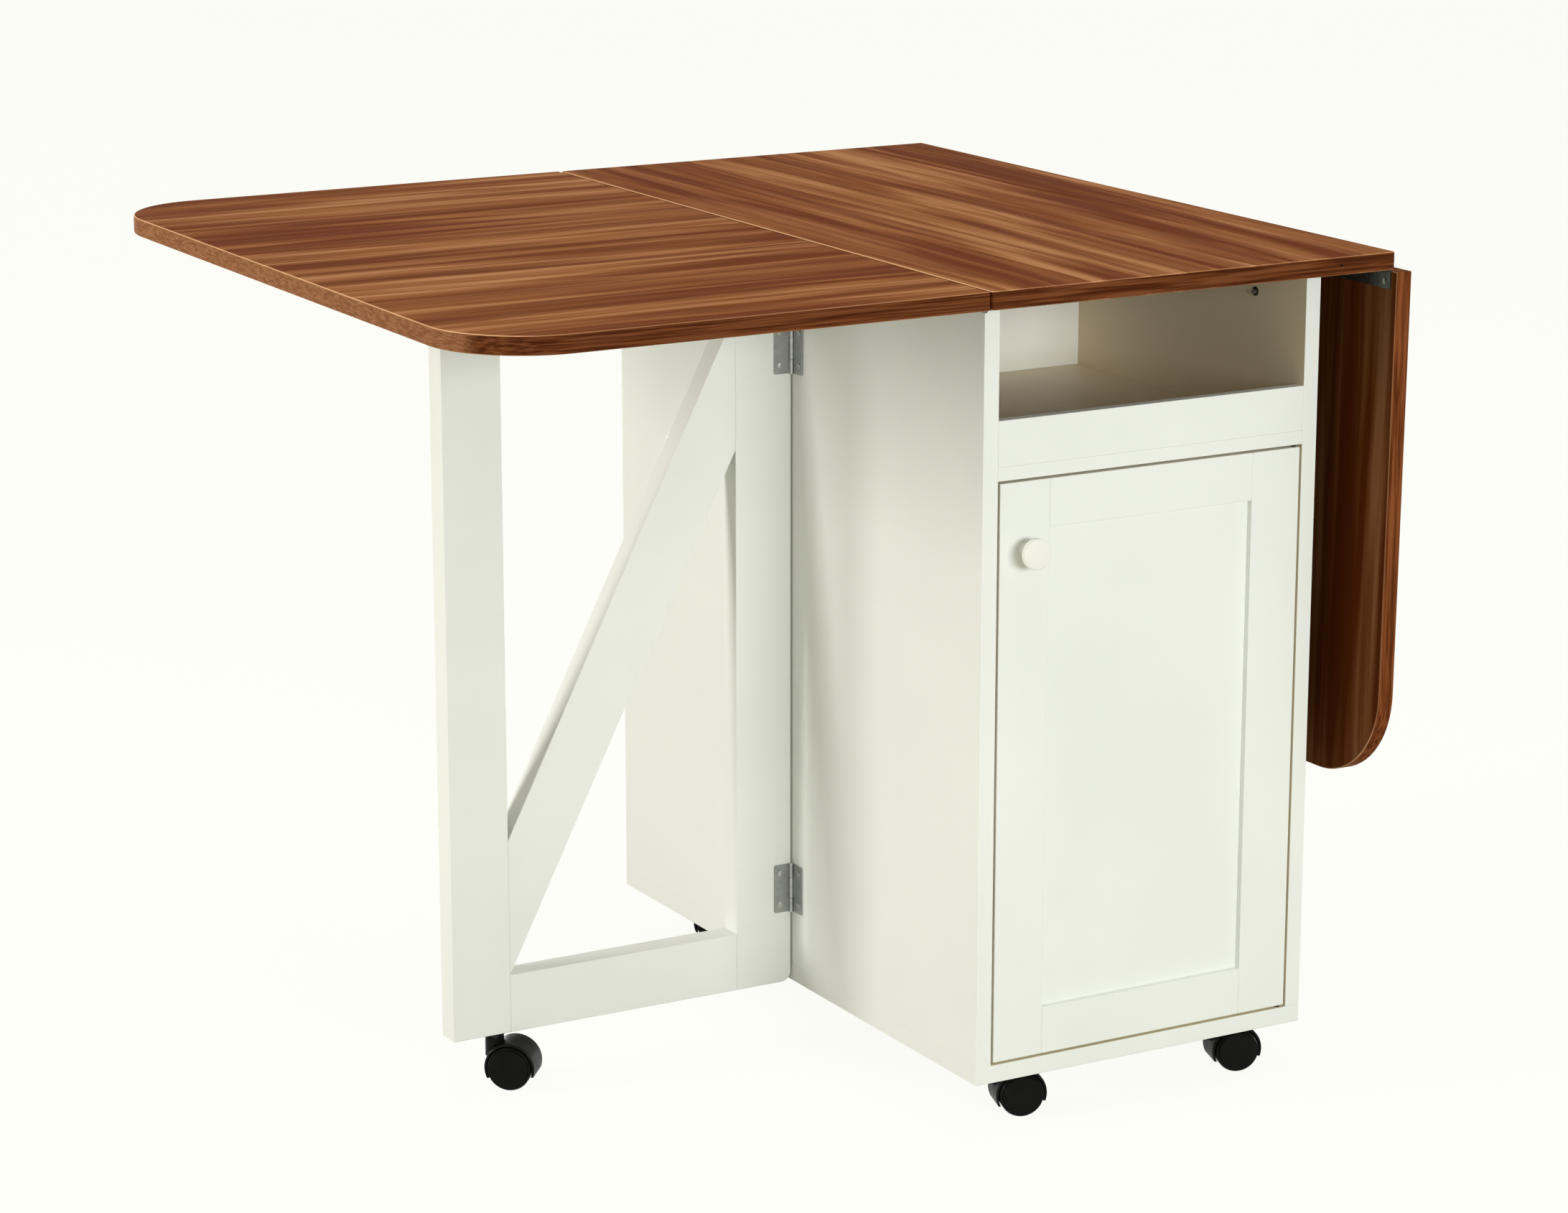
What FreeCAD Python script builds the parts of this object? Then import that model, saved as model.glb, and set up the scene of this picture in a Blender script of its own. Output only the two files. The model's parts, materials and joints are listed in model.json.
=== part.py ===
"""Drop-leaf kitchen island: painted cabinet on casters, walnut top in three panels, two swing-out gates.

Millimetres, +Z up. The door faces -Y. The left leaf (-X) is raised on its open gate, the right leaf hangs.
The model is worked out about the cabinet's centre line and then moved so that the origin is the middle of
the whole part's footprint, on the floor.
"""
import FreeCAD, Part
import math
import os

from FreeCAD import Rotation, Vector

# Top
HEIGHT = 760.0
TOP_DEPTH = 782.0
TOP_THICK = 16.0
LEAF_LENGTH = 462.0
LEAF_CORNER = 85.0
SEAM_GAP = 2.5
TOP_ROUND = 1.5
CENTRE_CORNER = 3.0
EDGE_HOLE_RADIUS = 1.6
EDGE_HOLE_DEPTH = 10.0
EDGE_HOLE_FROM_END = 57.0

# Cabinet
CABINET_WIDTH = 344.0
TOP_OVERHANG = 62.0
FOLDED_GATE_ROOM = 3.2
SIDE_THICK = 15.0
BOTTOM_THICK = 16.0
BACK_THICK = 9.0
NICHE_SHELF_THICK = 12.0
NICHE_HEIGHT = 147.0
NICHE_DEPTH = 356.0
NICHE_BACK_THICK = 12.0
NICHE_RAIL_HEIGHT = 40.0
NICHE_RAIL_THICK = 10.0
PANEL_ROUND = 0.6
LOOSE_SHELF_THICK = 15.0
LOOSE_SHELF_LIFT = 255.0
LOOSE_SHELF_SETBACK = 45.0
LOOSE_SHELF_PLAY = 1.0
SHELF_PIN_RADIUS = 2.5
SHELF_PIN_REACH = 9.0
SHELF_PIN_DEPTH = 8.0
SHELF_PIN_END = 60.0
SEAT_PLAY = 0.1

# Door
DOOR_GAP = 2.3
DOOR_THICK = 18.0
DOOR_STILE = 50.0
DOOR_RAIL = 42.5
DOOR_PANEL_THICK = 6.0
DOOR_PANEL_RECESS = 6.0
DOOR_TONGUE = 7.0
GROOVE_PLAY = 0.2
DOOR_ROUND = 0.8
PIVOT_INSET = 4.0
PIVOT_RADIUS = 1.8
PIVOT_DEPTH = 9.0
RUNNING_PLAY = 0.05
KNOB_RADIUS = 13.5
KNOB_NECK = 6.0
KNOB_REACH = 23.0
KNOB_RIM = 7.0
KNOB_DROP = 59.0
CATCH_LENGTH = 46.0
CATCH_HEIGHT = 13.0
CATCH_DEPTH = 14.0
CATCH_FROM_EDGE = 60.0
CATCH_PLAY = 0.3
STRIKE_THICK = 1.0
STRIKE_LENGTH = 38.0
STRIKE_HEIGHT = 11.0

# Gates
GATE_REACH = 346.0
GATE_STOCK = 57.0
GATE_THICK = 24.0
GATE_RAIL = 54.0
GATE_FRONT = -6.0
GATE_SIDE_GAP = 1.5
GATE_TOP_GAP = 4.0
GATE_ROUND = 0.8
GATE_FOOT_ROUND = 10.0
GATE_FOLD = 90.0
HALF_TURN = 180.0
PAD_LENGTH = 20.0
PAD_WIDTH = 16.0
PAD_FROM_RAIL = 15.0
PAD_HINGE_GAP = 10.0
REST_PLAY = 0.3
LEAN_PLAY = 1.0

# Butt hinges
GATE_HINGE_LENGTH = 46.0
LEAF_HINGE_LENGTH = 80.0
HINGE_WIDTH = 15.0
HINGE_PLATE = 1.2
HINGE_CORNER = 2.0
HINGE_MIDDLE = 19.6
KNUCKLE_RADIUS = 2.1
KNUCKLE_PLAY = 0.3
HINGE_PIN = 1.0
SCREW_HEAD = 2.7
SCREW_HEAD_HEIGHT = 0.6
SCREW_SHANK = 1.5
SCREW_END = 8.0
SCREW_SIDE = 6.0
LEAF_AXIS_DROP = 1.0
LEAF_HINGE_END = 48.0
LEAF_HINGE_COUNT = 4
GATE_HINGE_END = 91.5

# Casters
CASTER_HEIGHT = 50.0
CASTER_INSET_X = 56.0
CASTER_INSET_Y = 51.0
GATE_CASTER_INSET = 11.0
WHEEL_RADIUS = 20.0
WHEEL_INNER = 3.4
WHEEL_OUTER = 19.6
WHEEL_ROUND = 3.0
WHEEL_CAP_RADIUS = 17.6
WHEEL_CAP_GROOVE = 0.9
WHEEL_CAP_RISE = 0.9
AXLE_RADIUS = 3.0
AXLE_END = 15.0
TRAIL = 17.0
HOOD_WALL = 2.0
HOOD_CLEAR = 1.2
HOOD_HALF_WIDTH = 16.0
HOOD_WEB = 2.6
HOOD_HUB = 6.5
HOOD_ROUND = 1.4
HOOD_CUT_TILT = -4.0
HOOD_CUT_DROP = 8.5
BOSS_RADIUS = 8.5
BOSS_TOP_GAP = 4.5
BOSS_HEIGHT = 18.0
STEM_RADIUS = 4.0
STEM_SEAT = 8.0
STEM_REACH = 12.0
SOCKET_FLANGE = 9.0
SOCKET_FLANGE_THICK = 3.0
SOCKET_SLEEVE = 6.0
SOCKET_DEPTH = 13.0
FRONT_HEADING = -18.0
REAR_LEFT_HEADING = -30.0
REAR_RIGHT_HEADING = 170.0
GATE_HEADING = -40.0
FOLDED_GATE_HEADING = 90.0

# Levels and faces that follow from the sizes above
UNDERSIDE = HEIGHT - TOP_THICK
FLOOR_TOP = CASTER_HEIGHT + BOTTOM_THICK
NICHE_FLOOR = UNDERSIDE - NICHE_HEIGHT
NICHE_SHELF_LOW = NICHE_FLOOR - NICHE_SHELF_THICK
SIDE_X = CABINET_WIDTH / 2
INNER_X = SIDE_X - SIDE_THICK
CABINET_DEPTH = TOP_DEPTH - 2 * TOP_OVERHANG
FRONT_Y = -CABINET_DEPTH / 2
BACK_Y = CABINET_DEPTH / 2
BACK_FACE = BACK_Y - BACK_THICK
TOP_Y = TOP_DEPTH / 2
GATE_HINGE_SEAT = KNUCKLE_RADIUS + KNUCKLE_PLAY
FOLDED_GATE_X = SIDE_X + 2 * GATE_HINGE_SEAT + GATE_THICK
CENTRE_X = FOLDED_GATE_X + FOLDED_GATE_ROOM
DOOR_X = INNER_X - DOOR_GAP
DOOR_LOW = FLOOR_TOP + DOOR_GAP
DOOR_HIGH = NICHE_SHELF_LOW - DOOR_GAP
DOOR_BACK = FRONT_Y + DOOR_THICK
PIVOT = Vector(DOOR_X - PIVOT_INSET, FRONT_Y + PIVOT_INSET, 0)
LEAF_AXIS_X = CENTRE_X + SEAM_GAP / 2
LEAF_AXIS_Z = UNDERSIDE - LEAF_AXIS_DROP
GATE_AXIS = Vector(-SIDE_X - GATE_HINGE_SEAT, GATE_FRONT - GATE_HINGE_SEAT, 0)
GATE_TOP = UNDERSIDE - GATE_TOP_GAP
GATE_IN = -SIDE_X - GATE_SIDE_GAP
GATE_OUT = GATE_IN - GATE_REACH
POST_EDGE = GATE_IN - GATE_STOCK
LEG_EDGE = GATE_OUT + GATE_STOCK
GATE_MID = GATE_FRONT + GATE_THICK / 2
RAIL_TOP = CASTER_HEIGHT + GATE_RAIL
TOP_RAIL_LOW = GATE_TOP - GATE_RAIL
LEAF_TIP = SEAM_GAP / 2 + LEAF_LENGTH
LEAN_ROOM = LEAF_AXIS_X + LEAF_AXIS_DROP - FOLDED_GATE_X - LEAN_PLAY
LEAF_LEAN = math.degrees(math.asin(LEAN_ROOM / LEAF_TIP))

X_AXIS = Vector(1, 0, 0)
Y_AXIS = Vector(0, 1, 0)
Z_AXIS = Vector(0, 0, 1)


def box(x, y, z, round_edges=0.0):
    """A block between pairs of x, y and z values, with every edge rounded when a radius is given."""
    block = Part.makeBox(x[1] - x[0], y[1] - y[0], z[1] - z[0], Vector(x[0], y[0], z[0]))
    if round_edges:
        block = block.makeFillet(round_edges, block.Edges)
    return block


def about(middle, width):
    """The pair of values half a width to each side of a middle."""
    return (middle - width / 2, middle + width / 2)


def rod(radius, start, end):
    """A round bar from one point to another."""
    return Part.makeCylinder(radius, (end - start).Length, start, end - start)


def turned(shape, centre, axis, degrees):
    """A copy of a shape, turned about an axis through a point."""
    copy = shape.copy()
    copy.rotate(centre, axis, degrees)
    return copy


def moved(shape, offset):
    """A copy of a shape, moved by an offset."""
    copy = shape.copy()
    copy.translate(offset)
    return copy


def revolved(points, axis):
    """A full turn about an axis through the origin of the outline through the points."""
    outline = Part.makePolygon(points + points[:1])
    return Part.Face(outline).revolve(Vector(0, 0, 0), axis, 360)


def gather(shapes):
    """Separate solids of one node."""
    return Part.makeCompound(shapes)


def spaced(low, high, count):
    """Evenly spaced values from low to high."""
    return [low + (high - low) * i / (count - 1) for i in range(count)]


# Butt hinge, about its own Z axis: the plate runs along +X and seats on a face at y = seat


def knuckle_spans(length, outer):
    """Height ranges of the two outer knuckles, or of the middle one."""
    half = length / 2
    middle = HINGE_MIDDLE / 2
    if outer:
        return [(-half, -middle - KNUCKLE_PLAY), (middle + KNUCKLE_PLAY, half)]
    return [(-middle, middle)]


def hinge_leaf(length, seat, outer):
    """One hinge leaf: a plate with rounded corners and screw holes, rolled into knuckles round the pin."""
    half = length / 2
    reach = KNUCKLE_RADIUS + HINGE_WIDTH
    plate = box((0, reach), (seat - HINGE_PLATE, seat), (-half, half))
    far = [e for e in plate.Edges if e.CenterOfMass.x > reach - SEAT_PLAY]
    corners = [e for e in far if abs(e.CenterOfMass.z) > half - SEAT_PLAY]
    plate = plate.makeFillet(HINGE_CORNER, corners)
    clear = KNUCKLE_RADIUS + KNUCKLE_PLAY
    for low, high in knuckle_spans(length, not outer):
        room = rod(clear, Vector(0, 0, low - KNUCKLE_PLAY), Vector(0, 0, high + KNUCKLE_PLAY))
        plate = plate.cut(room)
    for low, high in knuckle_spans(length, outer):
        plate = plate.fuse(rod(KNUCKLE_RADIUS, Vector(0, 0, low), Vector(0, 0, high)))
    plate = plate.cut(rod(HINGE_PIN + RUNNING_PLAY, Vector(0, 0, -half), Vector(0, 0, half)))
    for place in screw_places(length):
        through = Y_AXIS * length
        plate = plate.cut(rod(SCREW_SHANK + SEAT_PLAY, place - through, place + through))
    return plate.removeSplitter()


def screw_places(length):
    """Centres of one hinge leaf's screws."""
    x = KNUCKLE_RADIUS + HINGE_WIDTH - SCREW_SIDE
    z = length / 2 - SCREW_END
    return [Vector(x, 0, -z), Vector(x, 0, z)]


def hinge_screws(length, seat):
    """Screws of one hinge leaf: a low head on the plate and a shank through its hole."""
    screws = []
    for place in screw_places(length):
        face = place + Y_AXIS * (seat - HINGE_PLATE)
        head = rod(SCREW_HEAD, face - Y_AXIS * SCREW_HEAD_HEIGHT, face)
        shank = rod(SCREW_SHANK, face - Y_AXIS * SCREW_HEAD_HEIGHT, place + Y_AXIS * seat)
        screws.append(head.fuse(shank).removeSplitter())
    return screws


def hinge_pin(length):
    """The pin of one hinge."""
    half = length / 2
    return rod(HINGE_PIN, Vector(0, 0, -half), Vector(0, 0, half))


def hinge_half(length, seat, outer):
    """Every solid of one hinge half: the leaf, its screws and, with the middle knuckle, the pin."""
    solids = [hinge_leaf(length, seat, outer)] + hinge_screws(length, seat)
    if not outer:
        solids.append(hinge_pin(length))
    return solids


def placed(solids, rotation, offset):
    """Copies of solids, turned about the origin and then moved."""
    out = []
    for solid in solids:
        copy = solid.copy()
        copy.Placement = FreeCAD.Placement(offset, rotation).multiply(copy.Placement)
        out.append(copy)
    return out


# Top and leaves


def leaf_hinge_places():
    """Positions along Y of each leaf's hinges."""
    end = TOP_Y - LEAF_HINGE_END
    return spaced(-end, end, LEAF_HINGE_COUNT)


def leaf_hinge_half(side, outer):
    """Solids of all hinge halves along one seam with the leaf flat: fixed under the centre, or moving."""
    along = -side if not outer else side
    rotation = Rotation(X_AXIS * along, Z_AXIS, Y_AXIS * -along, "XYZ")
    solids = []
    for y in leaf_hinge_places():
        centre = Vector(side * LEAF_AXIS_X, y, LEAF_AXIS_Z)
        solids += placed(hinge_half(LEAF_HINGE_LENGTH, LEAF_AXIS_DROP, outer), rotation, centre)
    return solids


def knuckle_notches(side):
    """Room for the knuckles in the lower edges on both sides of a seam."""
    half = LEAF_HINGE_LENGTH / 2 + KNUCKLE_PLAY
    radius = KNUCKLE_RADIUS + KNUCKLE_PLAY
    notches = []
    for y in leaf_hinge_places():
        centre = Vector(side * LEAF_AXIS_X, y, LEAF_AXIS_Z)
        notches.append(rod(radius, centre - Y_AXIS * half, centre + Y_AXIS * half))
    return gather(notches)


def upright_edges(panel):
    """The edges of a top panel that run through its thickness."""
    middle = (UNDERSIDE + HEIGHT) / 2
    return [e for e in panel.Edges if abs(e.CenterOfMass.z - middle) < TOP_ROUND]


def rim_edges(panel):
    """The edges all round a top panel's upper and lower face."""
    middle = (UNDERSIDE + HEIGHT) / 2
    return [e for e in panel.Edges if abs(e.CenterOfMass.z - middle) > TOP_THICK / 2 - TOP_ROUND]


def centre_top():
    """The fixed middle panel of the top."""
    panel = box((-CENTRE_X, CENTRE_X), (-TOP_Y, TOP_Y), (UNDERSIDE, HEIGHT))
    panel = panel.makeFillet(CENTRE_CORNER, upright_edges(panel))
    panel = panel.makeFillet(TOP_ROUND, rim_edges(panel))
    for side in (-1, 1):
        panel = panel.cut(knuckle_notches(side))
    return panel.cut(edge_hole())


def edge_hole():
    """The small blind hole in the front edge, half way up, near the right end."""
    mouth = Vector(CENTRE_X - EDGE_HOLE_FROM_END, -TOP_Y, (UNDERSIDE + HEIGHT) / 2)
    return rod(EDGE_HOLE_RADIUS, mouth, mouth + Y_AXIS * EDGE_HOLE_DEPTH)


def flat_leaf(side):
    """A leaf, flat beside the centre panel, with two rounded outer corners."""
    inner = CENTRE_X + SEAM_GAP
    x = sorted((side * inner, side * (inner + LEAF_LENGTH)))
    panel = box(x, (-TOP_Y, TOP_Y), (UNDERSIDE, HEIGHT))
    middle = inner + LEAF_LENGTH / 2
    corners = [e for e in upright_edges(panel) if side * e.CenterOfMass.x > middle]
    panel = panel.makeFillet(LEAF_CORNER, corners)
    panel = panel.makeFillet(TOP_ROUND, rim_edges(panel))
    return panel.cut(knuckle_notches(side))


def hung(shape):
    """A right leaf's solid, let down from flat until it leans towards the folded gate."""
    axis_point = Vector(LEAF_AXIS_X, 0, LEAF_AXIS_Z)
    return turned(shape, axis_point, Y_AXIS, 90.0 + LEAF_LEAN)


# Cabinet


def shelf_pin_places():
    """Centres of the four shelf pins on the side panels' inner faces."""
    z = FLOOR_TOP + LOOSE_SHELF_LIFT - SHELF_PIN_RADIUS
    front = FRONT_Y + LOOSE_SHELF_SETBACK + SHELF_PIN_END
    return [Vector(x, y, z) for x in (-INNER_X, INNER_X) for y in (front, BACK_FACE - SHELF_PIN_END)]


def shelf_pin(place, play=0.0):
    """A shelf pin, or with play the hole that it sits in."""
    out = X_AXIS * math.copysign(1, place.x)
    tip = place + out * (SHELF_PIN_DEPTH + play)
    return rod(SHELF_PIN_RADIUS + play, place - out * SHELF_PIN_REACH, tip)


def side_panel(side):
    """A side panel that stands on the bottom panel, with holes for the shelf pins."""
    x = sorted((side * INNER_X, side * SIDE_X))
    panel = box(x, (FRONT_Y, BACK_Y), (FLOOR_TOP, UNDERSIDE), PANEL_ROUND)
    for place in shelf_pin_places():
        panel = panel.cut(shelf_pin(place, SEAT_PLAY))
    return panel


def cabinet_caster_places():
    """Swivel centres of the four cabinet casters and the way each wheel trails."""
    x = SIDE_X - CASTER_INSET_X
    y = CABINET_DEPTH / 2 - CASTER_INSET_Y
    return {
        "front_left": (Vector(-x, -y, 0), FRONT_HEADING),
        "front_right": (Vector(x, -y, 0), FRONT_HEADING),
        "rear_left": (Vector(-x, y, 0), REAR_LEFT_HEADING),
        "rear_right": (Vector(x, y, 0), REAR_RIGHT_HEADING),
    }


def socket_hole(place):
    """The hole that a caster socket is pressed into, from below."""
    low = place + Z_AXIS * (CASTER_HEIGHT - SEAT_PLAY)
    high = place + Z_AXIS * (CASTER_HEIGHT + SOCKET_DEPTH + SEAT_PLAY)
    return rod(SOCKET_SLEEVE + SEAT_PLAY, low, high)


def pivot_hole(play):
    """The door's pivot line as one long hole, cut from whatever it passes through."""
    low = PIVOT + Z_AXIS * (FLOOR_TOP - PIVOT_DEPTH)
    lower = rod(PIVOT_RADIUS + play, low, PIVOT + Z_AXIS * (DOOR_LOW + PIVOT_DEPTH))
    high = PIVOT + Z_AXIS * (NICHE_SHELF_LOW + PIVOT_DEPTH)
    return gather([lower, rod(PIVOT_RADIUS + play, PIVOT + Z_AXIS * (DOOR_HIGH - PIVOT_DEPTH), high)])


def bottom_panel():
    """The full-width bottom panel, with the caster sockets' holes and the lower pivot's hole."""
    panel = box((-SIDE_X, SIDE_X), (FRONT_Y, BACK_Y), (CASTER_HEIGHT, FLOOR_TOP), PANEL_ROUND)
    for place, _ in cabinet_caster_places().values():
        panel = panel.cut(socket_hole(place))
    return panel.cut(pivot_hole(RUNNING_PLAY))


def niche_shelf():
    """The fixed shelf between the open niche and the cupboard."""
    panel = box((-INNER_X, INNER_X), (FRONT_Y, BACK_FACE), (NICHE_SHELF_LOW, NICHE_FLOOR), PANEL_ROUND)
    return panel.cut(pivot_hole(RUNNING_PLAY))


def cupboard_shelf():
    """The loose shelf on its four pins."""
    x = INNER_X - LOOSE_SHELF_PLAY
    y = (FRONT_Y + LOOSE_SHELF_SETBACK, BACK_FACE - LOOSE_SHELF_PLAY)
    z = FLOOR_TOP + LOOSE_SHELF_LIFT
    return box((-x, x), y, (z, z + LOOSE_SHELF_THICK), PANEL_ROUND)


def catch_block():
    """The magnetic catch under the niche shelf, behind the door's free stile."""
    x = -INNER_X + CATCH_FROM_EDGE
    front = DOOR_BACK + STRIKE_THICK + CATCH_PLAY
    return box(about(x, CATCH_LENGTH), (front, front + CATCH_DEPTH),
               (NICHE_SHELF_LOW - CATCH_HEIGHT, NICHE_SHELF_LOW), PANEL_ROUND)


def save_cabinet():
    """The carcass, its fittings and the fixed halves of every hinge."""
    save("left_side_panel", side_panel(-1))
    save("right_side_panel", side_panel(1))
    save("bottom_panel", bottom_panel())
    between = (-INNER_X, INNER_X)
    save("back_panel", box(between, (BACK_FACE, BACK_Y), (FLOOR_TOP, UNDERSIDE), PANEL_ROUND))
    save("niche_shelf", niche_shelf())
    rail_y = (FRONT_Y, FRONT_Y + NICHE_RAIL_THICK)
    rail_z = (NICHE_FLOOR, NICHE_FLOOR + NICHE_RAIL_HEIGHT)
    save("niche_front_rail", box(between, rail_y, rail_z, PANEL_ROUND))
    niche_end = FRONT_Y + NICHE_DEPTH
    niche_y = (niche_end, niche_end + NICHE_BACK_THICK)
    save("niche_back_panel", box(between, niche_y, (NICHE_FLOOR, UNDERSIDE), PANEL_ROUND))
    save("cupboard_shelf", cupboard_shelf())
    save("shelf_pins", gather([shelf_pin(place) for place in shelf_pin_places()]))
    save("door_pivot_pins", pivot_hole(0.0))
    save("magnet_catch", catch_block())
    save("centre_top", centre_top())
    save("leaf_hinge_fixed_flaps", gather(leaf_hinge_half(-1, False) + leaf_hinge_half(1, False)))
    left_halves = gate_hinge_half(False)
    right_halves = [turned(solid, Vector(), Z_AXIS, HALF_TURN) for solid in left_halves]
    save("gate_hinge_fixed_flaps", gather(left_halves + right_halves))
    sockets = [socket(place) for place, _ in cabinet_caster_places().values()]
    save("cabinet_caster_sockets", gather(sockets))


# Door


def door_panel_room(play):
    """The space of the door's thin panel, tongues included, widened all round by some play."""
    x = DOOR_X - DOOR_STILE + DOOR_TONGUE + play
    low = DOOR_LOW + DOOR_RAIL - DOOR_TONGUE - play
    high = DOOR_HIGH - DOOR_RAIL + DOOR_TONGUE + play
    face = FRONT_Y + DOOR_PANEL_RECESS
    return box((-x, x), (face - play, face + DOOR_PANEL_THICK + play), (low, high))


def save_door():
    """The frame-and-panel door with its knob and strike plate."""
    y = (FRONT_Y, DOOR_BACK)
    inner = DOOR_X - DOOR_STILE
    frame = {
        "door_left_stile": box((-DOOR_X, -inner), y, (DOOR_LOW, DOOR_HIGH), DOOR_ROUND),
        "door_right_stile": box((inner, DOOR_X), y, (DOOR_LOW, DOOR_HIGH), DOOR_ROUND),
        "door_top_rail": box((-inner, inner), y, (DOOR_HIGH - DOOR_RAIL, DOOR_HIGH), DOOR_ROUND),
        "door_bottom_rail": box((-inner, inner), y, (DOOR_LOW, DOOR_LOW + DOOR_RAIL), DOOR_ROUND),
    }
    for name, member in frame.items():
        save(name, member.cut(door_panel_room(GROOVE_PLAY)).cut(pivot_hole(RUNNING_PLAY)))
    save("door_panel", door_panel_room(0.0))
    save("door_knob", knob())
    x = -INNER_X + CATCH_FROM_EDGE
    z = NICHE_SHELF_LOW - CATCH_HEIGHT / 2 - DOOR_GAP
    save("door_strike_plate", box(about(x, STRIKE_LENGTH), (DOOR_BACK, DOOR_BACK + STRIKE_THICK),
                                  about(z, STRIKE_HEIGHT)))


def knob():
    """A round knob with a waisted neck and a softly crowned face."""
    rim_back = -(KNOB_REACH - KNOB_RIM)
    points = [
        Vector(0, 0, 0),
        Vector(KNOB_NECK + DOOR_ROUND, 0, 0),
        Vector(KNOB_NECK, rim_back / 2, 0),
        Vector(KNOB_NECK, rim_back + DOOR_ROUND, 0),
        Vector(KNOB_RADIUS - DOOR_ROUND, rim_back, 0),
        Vector(KNOB_RADIUS, rim_back - DOOR_ROUND, 0),
        Vector(KNOB_RADIUS, -KNOB_REACH + 2 * DOOR_ROUND, 0),
        Vector(KNOB_RADIUS - DOOR_ROUND, -KNOB_REACH + DOOR_ROUND, 0),
        Vector(KNOB_NECK, -KNOB_REACH, 0),
        Vector(0, -KNOB_REACH, 0),
    ]
    centre = Vector(-DOOR_X + DOOR_STILE / 2, FRONT_Y, DOOR_HIGH - KNOB_DROP)
    return moved(revolved(points, Y_AXIS), centre)


# Gates, drawn in the left gate's open position


def gate_hinge_half(outer):
    """Solids of both gate hinges' halves: on the side panel, or on the gate's front face."""
    if outer:
        rotation = Rotation(X_AXIS * -1, Y_AXIS, Z_AXIS * -1, "XYZ")
    else:
        rotation = Rotation(Z_AXIS, -GATE_FOLD)
    solids = []
    for z in (CASTER_HEIGHT + GATE_HINGE_END, GATE_TOP - GATE_HINGE_END):
        half = hinge_half(GATE_HINGE_LENGTH, GATE_HINGE_SEAT, outer)
        solids += placed(half, rotation, GATE_AXIS + Z_AXIS * z)
    return solids


def gate_brace():
    """The diagonal from the leg, just above the bottom rail, to the post, just below the top rail."""
    run = POST_EDGE - LEG_EDGE
    drop = brace_end_height(run)
    points = [
        Vector(LEG_EDGE, GATE_FRONT, RAIL_TOP),
        Vector(POST_EDGE, GATE_FRONT, TOP_RAIL_LOW - drop),
        Vector(POST_EDGE, GATE_FRONT, TOP_RAIL_LOW),
        Vector(LEG_EDGE, GATE_FRONT, RAIL_TOP + drop),
    ]
    outline = Part.Face(Part.makePolygon(points + points[:1]))
    solid = outline.extrude(Y_AXIS * GATE_THICK)
    return solid.makeFillet(GATE_ROUND, solid.Edges)


def brace_end_height(run):
    """Height of the brace's upright ends, so that its width square to its length is the gate stock's."""
    rise = TOP_RAIL_LOW - RAIL_TOP
    slope = math.sqrt(run ** 2 + rise ** 2 - GATE_STOCK ** 2)
    return GATE_STOCK * (run * slope - GATE_STOCK * rise) / (run ** 2 - GATE_STOCK ** 2)


def gate_caster_place():
    """Swivel centre of the open left gate's caster."""
    return Vector(LEG_EDGE - GATE_CASTER_INSET, GATE_MID, 0)


def pad_place():
    """The rest pad's middle along the gate: over the leg, or as far in as clears a leaf hinge when folded."""
    hinge_edge = leaf_hinge_places()[-1] - LEAF_HINGE_LENGTH / 2
    folded_limit = hinge_edge - PAD_HINGE_GAP - PAD_LENGTH / 2
    return max(LEG_EDGE - PAD_FROM_RAIL, GATE_AXIS.x - GATE_AXIS.y - folded_limit)


def gate_pieces():
    """Every rigid piece of one gate, by its name within the gate."""
    y = (GATE_FRONT, GATE_FRONT + GATE_THICK)
    leg = box((GATE_OUT, LEG_EDGE), y, (CASTER_HEIGHT, GATE_TOP), GATE_ROUND)
    post = box((POST_EDGE, GATE_IN), y, (CASTER_HEIGHT, GATE_TOP))
    low_edges = [e for e in post.Edges if e.CenterOfMass.z < CASTER_HEIGHT + GATE_ROUND]
    foot = [e for e in low_edges if e.CenterOfMass.x > GATE_IN - GATE_ROUND]
    post = post.makeFillet(GATE_FOOT_ROUND, foot)
    post = post.makeFillet(GATE_ROUND, post.Edges)
    return {
        "outer_leg": leg.cut(socket_hole(gate_caster_place())),
        "hinge_post": post,
        "bottom_rail": box((LEG_EDGE, POST_EDGE), y, (CASTER_HEIGHT, RAIL_TOP), GATE_ROUND),
        "top_rail": box((LEG_EDGE, POST_EDGE), y, (TOP_RAIL_LOW, GATE_TOP), GATE_ROUND),
        "brace": gate_brace(),
        "hinge_flaps": gather(gate_hinge_half(True)),
        "rest_pad": box(about(pad_place(), PAD_LENGTH), about(GATE_MID, PAD_WIDTH),
                        (GATE_TOP, UNDERSIDE - REST_PLAY), GATE_ROUND),
        "caster_socket": socket(gate_caster_place()),
    }


def to_right_gate(shape):
    """An open left gate's solid, folded flat and then carried to the right side by a half turn."""
    folded = turned(shape, GATE_AXIS, Z_AXIS, GATE_FOLD)
    return turned(folded, Vector(), Z_AXIS, HALF_TURN)


def save_gates():
    """The open left gate and the folded right one."""
    for name, piece in gate_pieces().items():
        save("left_gate_" + name, piece)
        save("right_gate_" + name, to_right_gate(piece))


# Casters, drawn about the swivel axis with the wheels trailing along +X


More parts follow.
